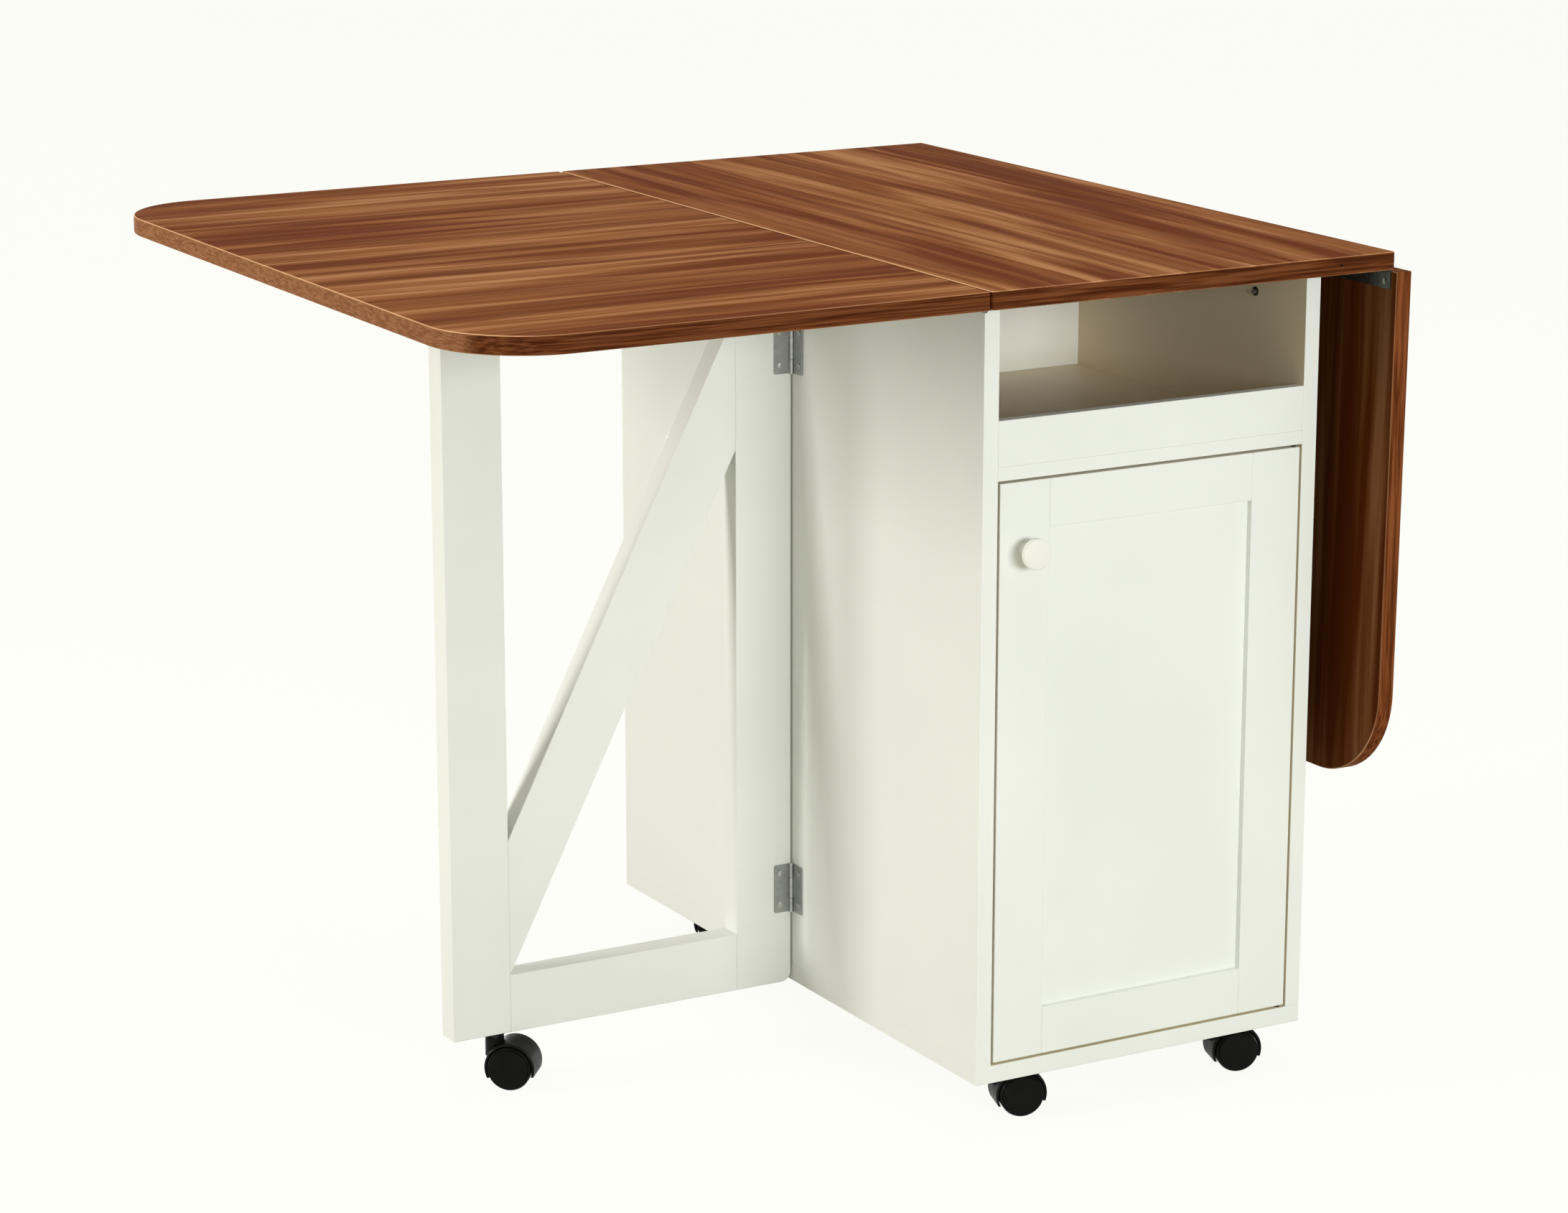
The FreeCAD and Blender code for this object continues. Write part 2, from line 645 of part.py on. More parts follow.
def socket(place):
    """A flanged sleeve for a caster's stem, seated in the wood from below."""
    face = place + Z_AXIS * CASTER_HEIGHT
    flange = rod(SOCKET_FLANGE, face - Z_AXIS * SOCKET_FLANGE_THICK, face)
    sleeve = rod(SOCKET_SLEEVE, face - Z_AXIS * SOCKET_FLANGE_THICK, face + Z_AXIS * SOCKET_DEPTH)
    end = face + Z_AXIS * (STEM_REACH + RUNNING_PLAY)
    bore = rod(STEM_RADIUS + RUNNING_PLAY, face - Z_AXIS * SOCKET_DEPTH, end)
    return flange.fuse(sleeve).cut(bore).removeSplitter()


def hood():
    """The moulded hood: a fender over both wheels, the web between them and the boss round the stem."""
    axle = Vector(TRAIL, 0, WHEEL_RADIUS)
    inner = WHEEL_RADIUS + HOOD_CLEAR
    outer = inner + HOOD_WALL
    half = Y_AXIS * HOOD_HALF_WIDTH
    web = Y_AXIS * HOOD_WEB
    room = rod(inner, axle - half * 2, axle + half * 2)
    drum = rod(outer, axle - half, axle + half)
    drum = drum.makeFillet(HOOD_ROUND, [e for e in drum.Edges if e.isClosed()])
    fender = drum.cut(room).fuse(rod(outer, axle - web, axle + web))
    reach = 2 * outer
    cut_z = WHEEL_RADIUS - HOOD_CUT_DROP
    below = box((TRAIL - reach, TRAIL + reach), (-reach, reach), (cut_z - reach, cut_z))
    fender = fender.cut(turned(below, axle, Y_AXIS, HOOD_CUT_TILT))
    boss_top = CASTER_HEIGHT - BOSS_TOP_GAP
    boss = rod(BOSS_RADIUS, Vector(0, 0, boss_top - BOSS_HEIGHT), Vector(0, 0, boss_top)).cut(room)
    body = fender.fuse(boss).fuse(rod(HOOD_HUB, axle - web, axle + web))
    body = body.cut(rod(AXLE_RADIUS + RUNNING_PLAY, axle - half, axle + half))
    seat = Vector(0, 0, boss_top - STEM_SEAT)
    return body.cut(rod(STEM_RADIUS + RUNNING_PLAY, seat, Vector(0, 0, boss_top))).removeSplitter()


def caster_pins():
    """The steel stem and axle of one caster."""
    boss_top = CASTER_HEIGHT - BOSS_TOP_GAP
    stem = rod(STEM_RADIUS, Vector(0, 0, boss_top - STEM_SEAT), Vector(0, 0, CASTER_HEIGHT + STEM_REACH))
    axle = Vector(TRAIL, 0, WHEEL_RADIUS)
    half = Y_AXIS * AXLE_END
    return gather([stem, rod(AXLE_RADIUS, axle - half, axle + half)])


def wheel():
    """One wheel of the pair, on the +Y side: rounded tread, ring groove and a low crowned cap."""
    groove = WHEEL_CAP_RADIUS + WHEEL_CAP_GROOVE
    shoulder = WHEEL_OUTER - WHEEL_ROUND
    slant = WHEEL_ROUND * (1 - math.sqrt(0.5))
    bore = AXLE_RADIUS + RUNNING_PLAY
    points = [
        Vector(bore, WHEEL_INNER, 0),
        Vector(WHEEL_RADIUS - WHEEL_CAP_GROOVE, WHEEL_INNER, 0),
        Vector(WHEEL_RADIUS, WHEEL_INNER + WHEEL_CAP_GROOVE, 0),
        Vector(WHEEL_RADIUS, shoulder, 0),
        Vector(WHEEL_RADIUS - slant, WHEEL_OUTER - slant - WHEEL_CAP_RISE, 0),
        Vector(groove, WHEEL_OUTER - WHEEL_CAP_RISE, 0),
        Vector(groove, WHEEL_OUTER - 2 * WHEEL_CAP_RISE, 0),
        Vector(WHEEL_CAP_RADIUS, WHEEL_OUTER - 2 * WHEEL_CAP_RISE, 0),
        Vector(WHEEL_CAP_RADIUS, WHEEL_OUTER - WHEEL_CAP_RISE, 0),
        Vector(WHEEL_CAP_RADIUS - WHEEL_CAP_RISE, WHEEL_OUTER, 0),
        Vector(0, WHEEL_OUTER, 0),
        Vector(0, AXLE_END + RUNNING_PLAY, 0),
        Vector(bore, AXLE_END + RUNNING_PLAY, 0),
    ]
    return moved(revolved(points, Y_AXIS), Vector(TRAIL, 0, WHEEL_RADIUS))


def wheel_pair():
    """Both wheels of one caster."""
    one = wheel()
    return gather([one, turned(one, Vector(TRAIL, 0, WHEEL_RADIUS), Z_AXIS, HALF_TURN)])


def caster_places():
    """Swivel centre and heading of every caster."""
    places = cabinet_caster_places()
    open_place = gate_caster_place()
    marker = Part.Vertex(open_place)
    places["left_gate"] = (open_place, GATE_HEADING)
    places["right_gate"] = (to_right_gate(marker).Point, FOLDED_GATE_HEADING)
    return places


def save_casters():
    """Hood, steel pins and wheel pair of every caster."""
    pieces = {"hood": hood(), "pins": caster_pins(), "wheels": wheel_pair()}
    for place_name, (place, heading) in caster_places().items():
        for piece_name, piece in pieces.items():
            copy = moved(turned(piece, Vector(), Z_AXIS, heading), place)
            save(f"{place_name}_caster_{piece_name}", copy)


def save_leaves():
    """Both leaves with their hinge flaps."""
    save("left_leaf", LEFT_LEAF)
    save("left_leaf_flaps", gather(leaf_hinge_half(-1, True)))
    save("right_leaf", RIGHT_LEAF)
    save("right_leaf_flaps", gather([hung(solid) for solid in leaf_hinge_half(1, True)]))


LEFT_LEAF = flat_leaf(-1)
RIGHT_LEAF = hung(flat_leaf(1))
ORIGIN_X = (LEFT_LEAF.optimalBoundingBox().XMin + RIGHT_LEAF.optimalBoundingBox().XMax) / 2


def save(name, shape):
    """Write one node, moved so that the footprint's middle is the origin."""
    moved(shape, Vector(-ORIGIN_X, 0, 0)).exportStep(f"parts/{name}.step")


os.makedirs("parts", exist_ok=True)
save_cabinet()
save_door()
save_leaves()
save_gates()
save_casters()
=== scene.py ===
"""Looks of a drop-leaf kitchen island on casters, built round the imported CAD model.

Metres throughout, in the CAD frame: +X along the leaves, -Y towards the door, +Z up.
"""

import json
import logging
import math
from dataclasses import dataclass, replace
from enum import Enum
from typing import Any, Iterable, Iterator, Union

import bmesh
import bpy
from mathutils import Matrix, Vector

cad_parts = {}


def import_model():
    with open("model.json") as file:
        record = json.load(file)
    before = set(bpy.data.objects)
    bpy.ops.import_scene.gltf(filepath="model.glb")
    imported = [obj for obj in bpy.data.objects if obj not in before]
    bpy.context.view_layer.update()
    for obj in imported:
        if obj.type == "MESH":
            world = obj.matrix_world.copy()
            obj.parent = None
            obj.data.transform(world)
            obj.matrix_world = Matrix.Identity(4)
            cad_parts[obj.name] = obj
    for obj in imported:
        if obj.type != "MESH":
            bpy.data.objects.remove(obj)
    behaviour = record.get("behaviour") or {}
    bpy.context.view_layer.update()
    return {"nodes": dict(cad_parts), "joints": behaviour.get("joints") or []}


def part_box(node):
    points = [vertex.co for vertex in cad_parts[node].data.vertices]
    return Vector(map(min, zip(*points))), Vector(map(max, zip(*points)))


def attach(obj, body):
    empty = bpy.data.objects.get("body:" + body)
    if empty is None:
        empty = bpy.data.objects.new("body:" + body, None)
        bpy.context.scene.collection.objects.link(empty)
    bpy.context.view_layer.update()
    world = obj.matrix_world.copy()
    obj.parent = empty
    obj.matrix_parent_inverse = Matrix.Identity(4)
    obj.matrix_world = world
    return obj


LOG = logging.getLogger("kitchen_island")

Colour = tuple[float, float, float]
Range = tuple[float, float]
Feed = Union[float, tuple, bpy.types.NodeSocket]

MM = 0.001
X_AXIS = Vector((1, 0, 0))
Y_AXIS = Vector((0, 1, 0))
Z_AXIS = Vector((0, 0, 1))

# Ranges that the levels of a noise pattern mostly lie in
MOST_NOISE: Range = (0.3, 0.7)
MID_NOISE: Range = (0.35, 0.65)

# Sockets of a Mix node that blends colours
MIX_FIRST, MIX_SECOND, MIX_RESULT = 6, 7, 2

# Edges of new pieces that are sharper than this aren't shaded smooth
SHARP_EDGE = math.radians(40)

# Points nearer than this are merged, in metres
MERGE_DISTANCE = 1e-7

# A screw head's cross recess, as shares of the head's radius, and the grid lines that bound it
CROSS_ARM = 0.16
CROSS_REACH = 0.62
CROSS_LINES = (-1.0, -CROSS_REACH, -CROSS_ARM, CROSS_ARM, CROSS_REACH, 1.0)

# Share of a screw head's rise that its crown loses towards the rim
CROWN_FALL = 0.8

# Spread of a lamp behind a grid
GRID_SPREAD = math.radians(40)

# The photograph's width in pixels and the camera sensor's in millimetres
PHOTO_WIDTH = 2184
SENSOR_WIDTH = 36.0


def srgb(red: int, green: int, blue: int) -> Colour:
    """Linear colour of an 8-bit display colour.

    Args:
        red: Red level, 0 to 255.
        green: Green level, 0 to 255.
        blue: Blue level, 0 to 255.

    Returns:
        The three linear levels, 0 to 1.
    """
    levels = [value / 255 for value in (red, green, blue)]
    return tuple(v / 12.92 if v <= 0.04045 else ((v + 0.055) / 1.055) ** 2.4 for v in levels)


def around(value: float, play: Range) -> Range:
    """A range that reaches below and above a value by the play's two amounts."""
    return value + play[0], value + play[1]


class Grain(Enum):
    """The object axis that a board's grain runs along."""

    X = (0, 1, 2)
    Y = (1, 0, 2)
    Z = (2, 1, 0)

    def scales(self, along: float, across: float, through: float) -> tuple[float, float, float]:
        """Pattern scales for the object's X, Y and Z.

        Args:
            along: Scale along the grain, per metre.
            across: Scale across the board's face, per metre.
            through: Scale through the board's thickness, per metre.

        Returns:
            The three scales in the order X, Y, Z.
        """
        out = [0.0, 0.0, 0.0]
        for axis, value in zip(self.value, (along, across, through)):
            out[axis] = value
        return tuple(out)

    @property
    def across(self) -> int:
        """Index of the axis across the grain on the board's face."""
        return self.value[1]

    @property
    def face(self) -> int:
        """Index of the axis square to the board's face."""
        return self.value[2]


class Side(Enum):
    """Sides of a piece: an object axis, and 1 or -1 for one way along it, 0 for both."""

    LEFT = (0, -1.0)
    RIGHT = (0, 1.0)
    LEFT_AND_RIGHT = (0, 0.0)
    FRONT = (1, -1.0)
    FRONT_AND_BACK = (1, 0.0)
    BOTTOM = (2, -1.0)
    TOP = (2, 1.0)
    TOP_AND_BOTTOM = (2, 0.0)


class Shade:
    """Writes the nodes of one material."""

    def __init__(self, name: str) -> None:
        """Start a material with one principled surface.

        Args:
            name: The material's name.
        """
        self.material = bpy.data.materials.new(name)
        self.material.use_nodes = True
        self.tree = self.material.node_tree
        self.surface = self.tree.nodes["Principled BSDF"]
        coordinates = self.tree.nodes.new("ShaderNodeTexCoord")
        self.place = coordinates.outputs["Object"]
        self.normal = coordinates.outputs["Normal"]

    def add(self, kind: str, inputs: dict[Any, Feed], **settings: Any) -> bpy.types.Node:
        """Add a node.

        Args:
            kind: Node type without its ShaderNode prefix.
            inputs: Value or socket for each named input.
            **settings: Attributes to set on the node.

        Returns:
            The new node.
        """
        node = self.tree.nodes.new("ShaderNode" + kind)
        for key, value in settings.items():
            setattr(node, key, value)
        for key, value in inputs.items():
            self.feed(node.inputs[key], value)
        return node

    def feed(self, socket: bpy.types.NodeSocket, value: Feed) -> None:
        """Link a socket, or set its own value.

        Args:
            socket: The input that is fed.
            value: A socket to link, or a constant.
        """
        if isinstance(value, bpy.types.NodeSocket):
            self.tree.links.new(value, socket)
        elif isinstance(value, tuple) and socket.type == "RGBA":
            socket.default_value = (*value, 1.0)
        else:
            socket.default_value = value

    def set(self, **values: Feed) -> None:
        """Feed the surface's sockets, named with underscores for spaces."""
        for key, value in values.items():
            self.feed(self.surface.inputs[key.replace("_", " ")], value)

    def noise(self, scales: tuple, octaves: float, rough: float = 0.5, warp: float = 0.0,
              shift: tuple = (0.0, 0.0, 0.0)) -> bpy.types.NodeSocket:
        """Noise on Object coordinates.

        Args:
            scales: Pattern scale along X, Y and Z, per metre.
            octaves: Number of finer octaves.
            rough: Strength of the finer octaves.
            warp: Distortion of the pattern.
            shift: Offset into the pattern.

        Returns:
            The noise level, 0 to 1.
        """
        mapping = self.add("Mapping", {"Vector": self.place, "Scale": scales, "Location": shift})
        node = self.add("TexNoise", {"Vector": mapping.outputs["Vector"], "Scale": 1.0, "Detail": octaves,
                                     "Roughness": rough, "Distortion": warp})
        return node.outputs["Fac"]

    def even_noise(self, scale: float, octaves: float) -> bpy.types.NodeSocket:
        """Noise of one scale along every axis."""
        return self.noise((scale, scale, scale), octaves)

    def sway(self, axis: int, pattern: bpy.types.NodeSocket, reach: float) -> None:
        """Let the patterns that are made next wander along an axis.

        Args:
            axis: Index of the axis.
            pattern: Level of the wander, about a half where it is nothing.
            reach: Greatest spread of the wander, in metres.
        """
        wander = self.math("MULTIPLY_ADD", pattern, reach, -reach / 2)
        offset = self.add("CombineXYZ", {axis: wander})
        moved = self.add("VectorMath", {0: self.place, 1: offset.outputs["Vector"]}, operation="ADD")
        self.place = moved.outputs["Vector"]

    def math(self, operation: str, first: Feed, second: Feed = 0.0,
             third: Feed = 0.0) -> bpy.types.NodeSocket:
        """Result of a math node.

        Args:
            operation: The node's operation.
            first: First value.
            second: Second value.
            third: Third value, where the operation has one.

        Returns:
            The result's socket.
        """
        return self.add("Math", {0: first, 1: second, 2: third}, operation=operation).outputs[0]

    def span(self, value: Feed, source: Range, target: Range = (0.0, 1.0)) -> bpy.types.NodeSocket:
        """A value carried smoothly from one range to another, held at its ends.

        Args:
            value: The value to carry over.
            source: Start and end of its range.
            target: Results at the start and the end.

        Returns:
            The result's socket.
        """
        node = self.add("MapRange", {"Value": value, "From Min": source[0], "From Max": source[1],
                                     "To Min": target[0], "To Max": target[1]},
                        interpolation_type="SMOOTHSTEP")
        return node.outputs["Result"]

    def ramp(self, value: Feed, stops: Iterable[tuple[float, Colour]]) -> bpy.types.NodeSocket:
        """Colour from a ramp.

        Args:
            value: Place on the ramp.
            stops: Places and colours, in order.

        Returns:
            The colour's socket.
        """
        node = self.add("ValToRGB", {"Fac": value})
        elements = node.color_ramp.elements
        points = list(stops)
        while len(elements) < len(points):
            elements.new(1.0)
        for element, (place, colour) in zip(elements, points):
            element.position = place
            element.color = (*colour, 1.0)
        return node.outputs["Color"]

    def mix(self, factor: Feed, first: Feed, second: Feed, blend: str = "MIX") -> bpy.types.NodeSocket:
        """Blend of two colours.

        Args:
            factor: Share of the second colour.
            first: First colour.
            second: Second colour.
            blend: The blend type.

        Returns:
            The colour's socket.
        """
        node = self.add("Mix", {}, data_type="RGBA", blend_type=blend)
        self.feed(node.inputs["Factor"], factor)
        self.feed(node.inputs[MIX_FIRST], first)
        self.feed(node.inputs[MIX_SECOND], second)
        return node.outputs[MIX_RESULT]

    def bump(self, height: Feed, strength: float, distance: float) -> None:
        """Raise the surface by a height pattern.

        Args:
            height: The height pattern.
            strength: Share of the full effect.
            distance: Height of the pattern's full level, in metres.
        """
        node = self.add("Bump", {"Height": height, "Strength": strength, "Distance": distance})
        self.set(Normal=node.outputs["Normal"])

    def facing(self, axis: int, sign: float = 0.0) -> bpy.types.NodeSocket:
        """How far the surface faces along an object axis.

        Args:
            axis: Index of the axis.
            sign: 1 or -1 for one way along it, 0 for both.

        Returns:
            The level, 1 where the surface is square to the axis.
        """
        parts = self.add("SeparateXYZ", {"Vector": self.normal})
        if sign:
            return self.math("MULTIPLY", parts.outputs[axis], sign)
        return self.math("ABSOLUTE", parts.outputs[axis])


@dataclass(frozen=True)
class GrainLayer:
    """One noise pattern in a board: its scales per metre, its octaves and its distortion."""

    along: float
    across: float
    through: float
    octaves: float
    rough: float = 0.5
    warp: float = 0.0


@dataclass(frozen=True)
class WalnutLaminate:
    """Satin walnut board: wandering bands and flames, dark veins, fine fibres and open pores.

    Its edges are banded in a tone of their own, and another one on one end that is partly end grain and
    partly painted light; its rounded rims carry a painted highlight.
    """

    name: str
    grain: Grain
    shift: tuple[float, float, float]
    band_scales: tuple[float, float, float]
    end: Side
    tones: tuple[Colour, ...] = (srgb(102, 44, 8), srgb(130, 74, 35), srgb(151, 94, 53), srgb(181, 126, 84))
    tone_places: tuple[float, ...] = (0.08, 0.38, 0.62, 0.92)
    edge_tones: tuple[Colour, ...] = (srgb(68, 32, 13), srgb(94, 49, 24), srgb(114, 66, 38))
    # Tone of one end: end grain, and painted light where it is the raised leaf's left end
    end_tones_and_painted_light: tuple[Colour, ...] = (srgb(124, 80, 52), srgb(140, 93, 62), srgb(154, 106, 74))
    edge_places: tuple[float, ...] = (0.1, 0.5, 0.9)
    band_octaves: float = 3.0
    band_rough: float = 0.6
    band_warp: float = 0.4
    drift: GrainLayer = GrainLayer(2.4, 5.0, 5.0, 2.0)
    wander: float = 26 * MM
    bands: GrainLayer = GrainLayer(1.3, 15.0, 9.0, 2.0, 0.5, 0.5)
    band_share: float = 0.38
    flames: GrainLayer = GrainLayer(2.1, 48.0, 22.0, 3.0, 0.55, 0.6)
    flame_share: float = 0.52
    streaks: GrainLayer = GrainLayer(3.4, 210.0, 90.0, 2.0, 0.6, 0.2)
    streak_share: float = 0.12
    figure_span: Range = (0.375, 0.665)
    veins: GrainLayer = GrainLayer(1.6, 120.0, 50.0, 1.0, 0.5, 0.25)
    vein_span: Range = (0.6, 0.66)
    vein_depth: float = 0.32
    pores: GrainLayer = GrainLayer(55.0, 1500.0, 700.0, 1.0)
    pore_span: Range = (0.66, 0.74)
    pore_depth: float = 0.35
    fibres: GrainLayer = GrainLayer(9.0, 800.0, 400.0, 2.0, 0.6)
    fibre_tones: tuple[Colour, ...] = ((0.8, 0.78, 0.74), (1.14, 1.15, 1.16))
    fibre_depth: float = 0.5
    edge_turn: Range = (0.5, 0.35)
    end_turn: Range = (0.75, 0.97)
    # Painted highlight along the rounded rims
    rim_highlight_tone: Colour = srgb(232, 184, 140)
    rim_ends: Side = Side.LEFT_AND_RIGHT
    rim_start: Range = (0.45, 0.6)
    rim_stop: Range = (0.985, 0.94)
    rim_turn: Range = (0.15, 0.4)
    side_shine: float = 0.25
    end_shine: float = 0.7
    # Painted shade on the board's back face: its underside, and the hanging leaf's inner face
    back_shade_tone: Colour = srgb(60, 26, 8)
    back_sign: float = -1.0
    back_turn: Range = (0.6, 0.9)
    back_shade_depth: float = 0.6
    rough: Range = (0.6, 0.72)
    specular: float = 0.02
    streak_rise: float = 0.4
    relief: float = 0.35
    relief_depth: float = 0.06 * MM

    def layer(self, shade: Shade, layer: GrainLayer) -> bpy.types.NodeSocket:
        """Level of one of the board's patterns, turned along its grain."""
        scales = self.grain.scales(layer.along, layer.across, layer.through)
        return shade.noise(scales, layer.octaves, layer.rough, layer.warp, self.shift)

    def face_wood(self, shade: Shade, streaks: bpy.types.NodeSocket,
                  open_pores: bpy.types.NodeSocket) -> bpy.types.NodeSocket:
        """Colour of the board's face.

        Args:
            shade: The material being written.
            streaks: Level of the fine streaks.
            open_pores: Level of the open pores.

        Returns:
            The colour's socket.
        """
        broad = shade.math("MULTIPLY", self.layer(shade, self.bands), self.band_share)
        figure = shade.math("MULTIPLY_ADD", self.layer(shade, self.flames), self.flame_share, broad)
        figure = shade.math("MULTIPLY_ADD", streaks, self.streak_share, figure)
        wood = shade.ramp(shade.span(figure, self.figure_span), zip(self.tone_places, self.tones))
        veins = shade.span(self.layer(shade, self.veins), self.vein_span)
        for pattern, depth in ((open_pores, self.pore_depth), (veins, self.vein_depth)):
            wood = shade.mix(shade.math("MULTIPLY", pattern, depth), wood, self.tones[0])
        fibres = shade.ramp(self.layer(shade, self.fibres), zip(MOST_NOISE, self.fibre_tones))
        return shade.mix(self.fibre_depth, wood, fibres, "MULTIPLY")

    def edge_wood(self, shade: Shade) -> bpy.types.NodeSocket:
        """Colour of the banded edges, with another tone on one end: end grain, and painted light on the
        raised leaf's left end.

        Args:
            shade: The material being written.

        Returns:
            The colour's socket.
        """
        noise = shade.noise(self.band_scales, self.band_octaves, self.band_rough, self.band_warp, self.shift)
        band = shade.span(noise, MOST_NOISE)
        sides = shade.ramp(band, zip(self.edge_places, self.edge_tones))
        # The end's tone: end grain, and painted light on the raised leaf's left end
        end = shade.ramp(band, zip(self.edge_places, self.end_tones_and_painted_light))
        return shade.mix(shade.span(shade.facing(*self.end.value), self.end_turn), sides, end)

    def rim(self, shade: Shade, face: bpy.types.NodeSocket) -> bpy.types.NodeSocket:
        """Level of the painted highlight on the rounded rims, stronger on the sides that rim_ends gives.

        Args:
            shade: The material being written.
            face: How far the surface faces as the board's face does.

        Returns:
            The level's socket.
        """
        rounded = shade.math("MULTIPLY", shade.span(face, self.rim_start), shade.span(face, self.rim_stop))
        ends = shade.facing(*self.rim_ends.value)
        shine = shade.span(ends, self.rim_turn, (self.side_shine, self.end_shine))
        return shade.math("MULTIPLY", rounded, shine)

    def material(self) -> bpy.types.Material:
        """The finished material."""
        shade = Shade(self.name)
        shade.sway(self.grain.across, self.layer(shade, self.drift), self.wander)
        streaks = self.layer(shade, self.streaks)
        open_pores = shade.span(self.layer(shade, self.pores), self.pore_span)
        face = shade.facing(self.grain.face)
        wood = self.face_wood(shade, streaks, open_pores)
        wood = shade.mix(shade.span(face, self.edge_turn), wood, self.edge_wood(shade))
        # Painted highlight on the rounded rims
        wood = shade.mix(self.rim(shade, face), wood, self.rim_highlight_tone)
        # Painted shade: the back face is darkened towards its shaded tone
        back = shade.span(shade.facing(self.grain.face, self.back_sign), self.back_turn)
        wood = shade.mix(shade.math("MULTIPLY", back, self.back_shade_depth), wood, self.back_shade_tone)
        shade.set(Base_Color=wood, Roughness=shade.span(streaks, MOST_NOISE, self.rough),
                  Specular_IOR_Level=self.specular)
        height = shade.math("SUBTRACT", shade.math("MULTIPLY", streaks, self.streak_rise), open_pores)
        shade.bump(height, self.relief, self.relief_depth)
        return shade.material


@dataclass(frozen=True)
class SatinPaint:
    """White paint on board: faint mottling and fine roller stipple, with another tone on one side that the
    cabinet uses for a warmer inner coat with painted shade and for painted light.
    """

    name: str
    tone: Colour
    stipple: float = 900.0
    lining_and_painted_light: Colour | None = None
    tinted_side: Side = Side.FRONT
    flat_face: float = 0.98
    cloud: float = 5.0
    thin_coat: float = 0.955
    rough: Range = (0.4, 0.5)
    specular: float = 0.35
    relief: float = 0.25
    relief_depth: float = 0.04 * MM

    def coat(self, shade: Shade, cover: bpy.types.NodeSocket, tone: Colour) -> bpy.types.NodeSocket:
        """Colour of a tone that is a little thinner where the cover is low."""
        return shade.mix(cover, tuple(level * self.thin_coat for level in tone), tone)

    def material(self) -> bpy.types.Material:
        """The finished material."""
        shade = Shade(self.name)
        cloud = shade.even_noise(self.cloud, octaves=3.0)
        stipple = shade.even_noise(self.stipple, octaves=2.0)
        cover = shade.span(cloud, MOST_NOISE)
        paint = self.coat(shade, cover, self.tone)
        # The other tone on one side: an inner coat with painted shade, and painted light on the niche's back
        # wall
        if self.lining_and_painted_light:
            inside = shade.math("GREATER_THAN", shade.facing(*self.tinted_side.value), self.flat_face)
            paint = shade.mix(inside, paint, self.coat(shade, cover, self.lining_and_painted_light))
        shade.set(Base_Color=paint, Roughness=shade.span(cloud, MOST_NOISE, self.rough),
                  Specular_IOR_Level=self.specular)
        shade.bump(stipple, self.relief, self.relief_depth)
        return shade.material


@dataclass(frozen=True)
class SatinSteel:
    """Zinc-plated steel with a drawn grain and cloudy plating."""

    name: str
    tone: Colour
    rough: float = 0.36
    rough_play: Range = (-0.06, 0.1)
    drawn: tuple[float, float, float] = (1800.0, 1800.0, 60.0)
    cloud: float = 140.0
    dull: float = 0.88
    relief: float = 0.15
    relief_depth: float = 0.02 * MM

    def material(self) -> bpy.types.Material:
        """The finished material."""
        shade = Shade(self.name)
        drawn = shade.noise(self.drawn, octaves=2.0, rough=0.6)
        cloud = shade.span(shade.even_noise(self.cloud, octaves=2.0), MID_NOISE)
        dull = tuple(level * self.dull for level in self.tone)
        shade.set(Base_Color=shade.mix(cloud, dull, self.tone), Metallic=1.0,
                  Roughness=shade.span(drawn, MOST_NOISE, around(self.rough, self.rough_play)))
        shade.bump(drawn, self.relief, self.relief_depth)
        return shade.material


@dataclass(frozen=True)
class MouldedPlastic:
    """Moulded plastic with a fine spark-eroded texture, a little paler in clouds."""

    name: str
    tone: Colour
    rough: float = 0.48
    shine: float = 0.18
    rough_play: Range = (-0.05, 0.06)
    cloud: float = 90.0
    paler: float = 1.25
    texture: float = 2600.0
    relief: float = 0.2
    relief_depth: float = 0.03 * MM

    def material(self) -> bpy.types.Material:
        """The finished material."""
        shade = Shade(self.name)
        cloud = shade.even_noise(self.cloud, octaves=2.0)
        texture = shade.even_noise(self.texture, octaves=1.0)
        paler = tuple(level * self.paler for level in self.tone)
        shade.set(Base_Color=shade.mix(shade.span(cloud, MID_NOISE), self.tone, paler),
                  Roughness=shade.span(cloud, MOST_NOISE, around(self.rough, self.rough_play)),
                  Specular_IOR_Level=self.shine)
        shade.bump(texture, self.relief, self.relief_depth)
        return shade.material


